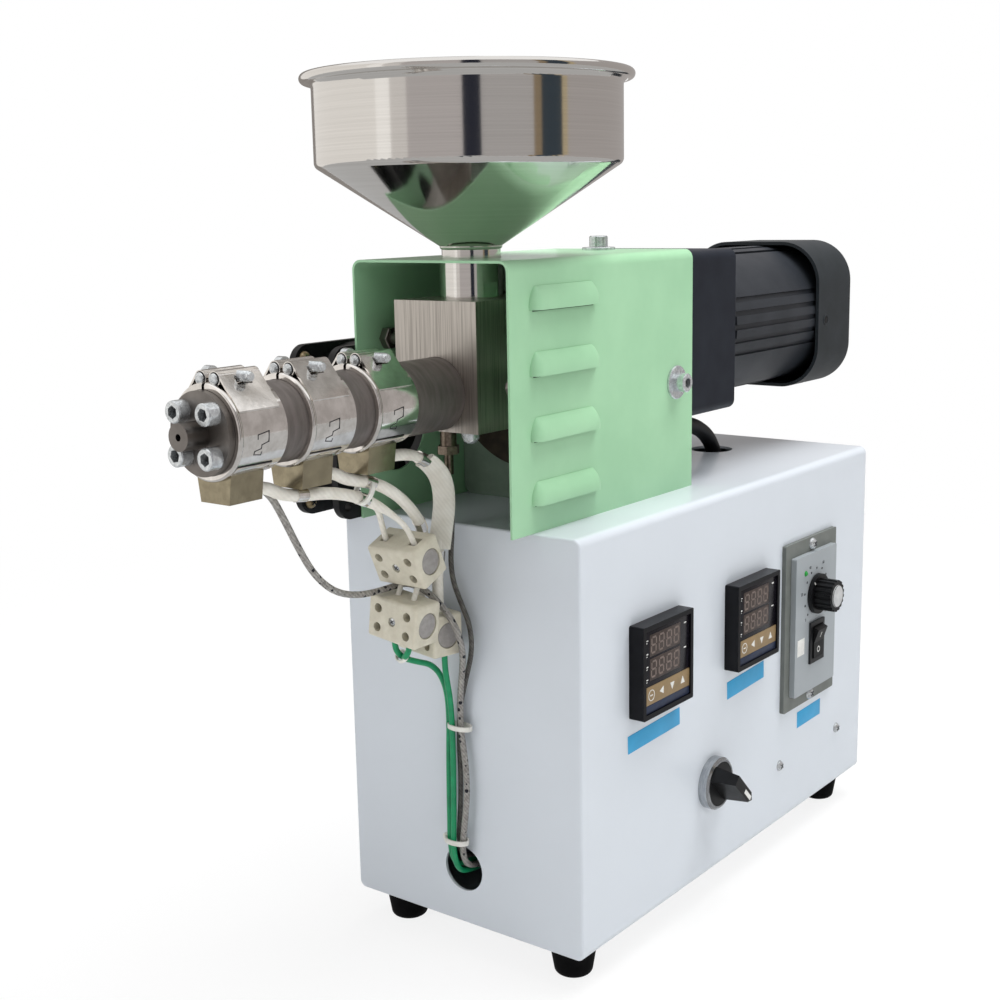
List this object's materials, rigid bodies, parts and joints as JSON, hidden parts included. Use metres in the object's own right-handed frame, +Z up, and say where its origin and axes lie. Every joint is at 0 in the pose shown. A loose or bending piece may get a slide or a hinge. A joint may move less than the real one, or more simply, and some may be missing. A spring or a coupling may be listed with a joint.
{
  "type": "benchtop single screw extruder",
  "caption": "Benchtop single screw extruder: round hopper, heated barrel with nozzle, louvred hood, gearmotor and side control panel on a sheet-metal cabinet with rubber feet.",
  "frame": {"origin": "bottom centre of the bounding box without the free leads, on the floor under the feet", "axes": "+Z up, -Y the way the nozzle points, +X the side with the control panel"},
  "size_m": [0.1732, 0.525, 0.4444],
  "materials": {
    "white_paint": "smooth gloss powder coat",
    "green_paint": "smooth satin powder coat",
    "black_paint": "satin black paint on cast and turned aluminium",
    "black_rubber": "matte moulded rubber",
    "milled_steel": "milled and ground",
    "dark_steel": "turned, darkened by heat",
    "stainless": "polished sheet",
    "plated_brass": "nickel plated",
    "satin_aluminium": "satin",
    "black_plastic": "fine moulded grain",
    "gloss_black": "gloss moulded",
    "grey_plastic": "fine moulded grain",
    "ceramic": "glazed ceramic",
    "white_sleeve": "coated glass-fibre sleeve",
    "metal_braid": "metal braid with dark tracer",
    "green_wire": "smooth silicone insulation",
    "black_cable": "smooth cable jacket"
  },
  "bodies": {
    "machine": {"cabinet_wrap": "white_paint", "cabinet_front": "white_paint", "cabinet_back": "white_paint", "cabinet_base": "white_paint", "foot_front_left": "black_rubber", "foot_front_right": "black_rubber", "foot_rear_left": "black_rubber", "foot_rear_right": "black_rubber", "hood": "green_paint", "feed_block": "milled_steel", "barrel": "dark_steel", "die": "dark_steel", "heater_band_1": "stainless", "heater_band_2": "stainless", "heater_band_3": "stainless", "terminal_box_1": "stainless", "terminal_box_2": "stainless", "terminal_box_3": "stainless", "thermocouple": "plated_brass", "feed_sleeve": "milled_steel", "hopper": "stainless", "bearing_flange": "dark_steel", "bearing_plate": "milled_steel", "gearbox_plate": "milled_steel", "gearbox": "black_paint", "motor": "black_paint", "motor_fan_cover": "black_plastic", "fan_frame": "black_plastic", "fan_rotor": "black_plastic", "heat_controller": "black_plastic", "cooling_controller": "black_plastic", "speed_plate": "grey_plastic", "selector_bezel": "satin_aluminium", "terminal_block_upper": "ceramic", "terminal_block_lower": "ceramic", "terminal_block_rear": "ceramic", "heater_lead_1": "white_sleeve", "heater_lead_2": "white_sleeve", "heater_lead_3": "white_sleeve", "link_leads": "white_sleeve", "braid_lead": "metal_braid", "thermo_lead": "metal_braid", "green_lead_1": "green_wire", "green_lead_2": "green_wire", "motor_cable": "black_cable"},
    "knob": {"speed_knob": "black_plastic"},
    "rocker": {"rocker_switch": "gloss_black"},
    "selector": {"selector_lever": "gloss_black"}
  },
  "joints": [
    {"name": "knob_turn", "type": "hinge", "parent": "machine", "child": "knob", "pos_m": [0.07262, 0.1455, 0.1535], "axis": [1, 0, 0], "range_deg": [-135, 135]},
    {"name": "rocker_tilt", "type": "hinge", "parent": "machine", "child": "rocker", "pos_m": [0.07262, 0.1455, 0.1245], "axis": [0, -1, 0], "range_deg": [0, 18]},
    {"name": "selector_turn", "type": "hinge", "parent": "machine", "child": "selector", "pos_m": [0.07262, 0.0325, 0.071], "axis": [1, 0, 0], "range_deg": [0, 90]}
  ]
}
